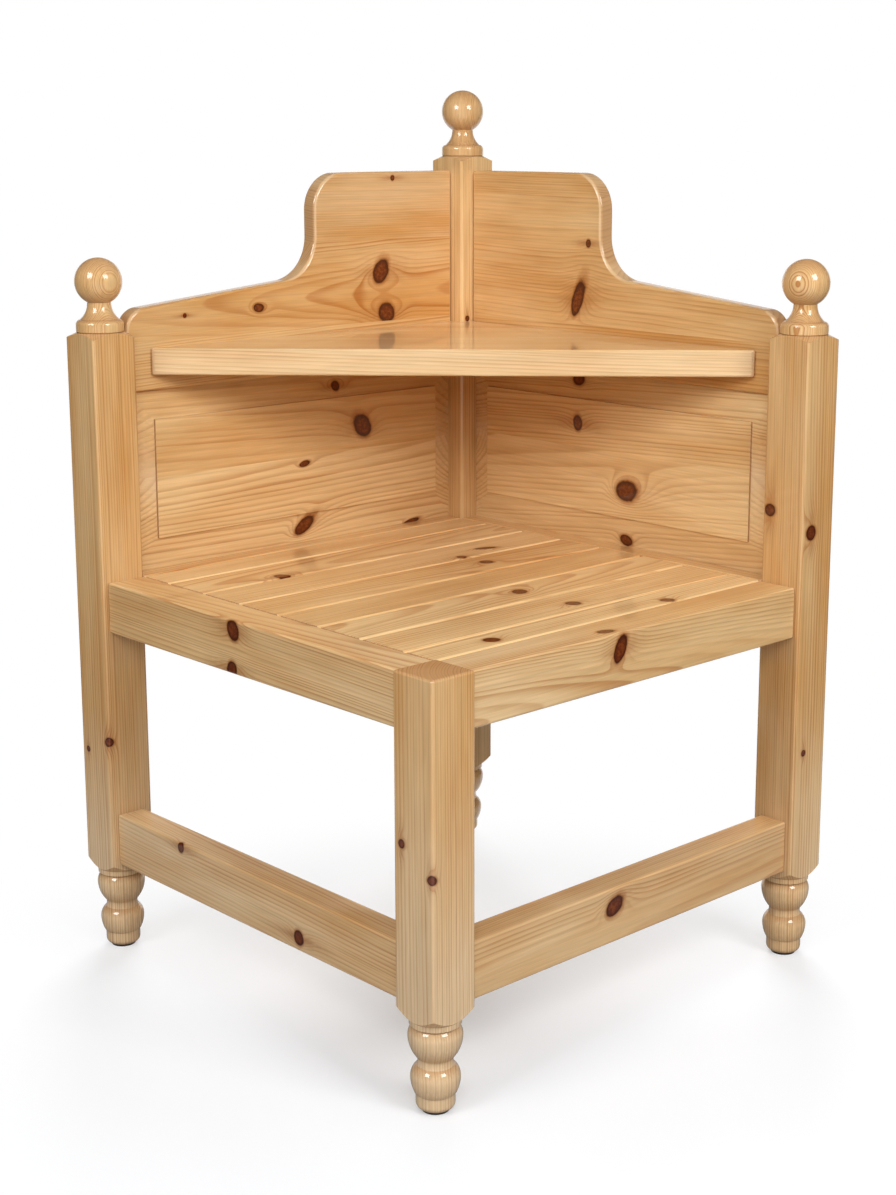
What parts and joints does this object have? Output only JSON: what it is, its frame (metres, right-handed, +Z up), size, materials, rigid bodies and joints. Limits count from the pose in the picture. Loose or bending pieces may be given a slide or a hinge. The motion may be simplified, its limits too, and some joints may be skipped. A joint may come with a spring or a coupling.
{
  "type": "corner table",
  "caption": "Pine corner piece with a slatted low top, two panelled backs with scrolled boards, a triangular corner shelf, ball finials and turned feet.",
  "frame": {"origin": "on the floor under the middle of the square plan", "axes": "+Z up; the open front corner is at +X -Y, the tall back post at -X +Y, the left back stands along -X and the right back along +Y"},
  "size_m": [0.6, 0.6, 0.9821],
  "materials": {
    "honey_pine": "clear gloss lacquer over honey-coloured knotty pine",
    "pale_pine": "bare planed pine",
    "dark_plastic": "matt moulded",
    "zinc_steel": "zinc plated"
  },
  "bodies": {
    "root": {"bearer_left": "pale_pine", "bearer_right": "pale_pine", "bearer_screw_left_1": "zinc_steel", "bearer_screw_left_2": "zinc_steel", "bearer_screw_right_1": "zinc_steel", "bearer_screw_right_2": "zinc_steel", "board_left": "honey_pine", "board_right": "honey_pine", "cleat_back_right": "pale_pine", "cleat_front_left": "pale_pine", "cleat_screw_back_right_1": "zinc_steel", "cleat_screw_back_right_2": "zinc_steel", "cleat_screw_back_right_3": "zinc_steel", "cleat_screw_front_left_1": "zinc_steel", "cleat_screw_front_left_2": "zinc_steel", "cleat_screw_front_left_3": "zinc_steel", "finial_back": "honey_pine", "finial_left": "honey_pine", "finial_right": "honey_pine", "glide_back": "dark_plastic", "glide_front": "dark_plastic", "glide_left": "dark_plastic", "glide_right": "dark_plastic", "panel_left": "honey_pine", "panel_right": "honey_pine", "post_back": "honey_pine", "post_front": "honey_pine", "post_left": "honey_pine", "post_right": "honey_pine", "rail_back_left": "honey_pine", "rail_back_right": "honey_pine", "rail_front_left": "honey_pine", "rail_front_right": "honey_pine", "shelf": "honey_pine", "shelf_screw_left": "zinc_steel", "shelf_screw_right": "zinc_steel", "slat_1": "honey_pine", "slat_2": "honey_pine", "slat_3": "honey_pine", "slat_4": "honey_pine", "slat_5": "honey_pine", "slat_6": "honey_pine", "slat_7": "honey_pine", "slat_8": "honey_pine", "stretcher_left": "honey_pine", "stretcher_right": "honey_pine"}
  },
  "joints": []
}
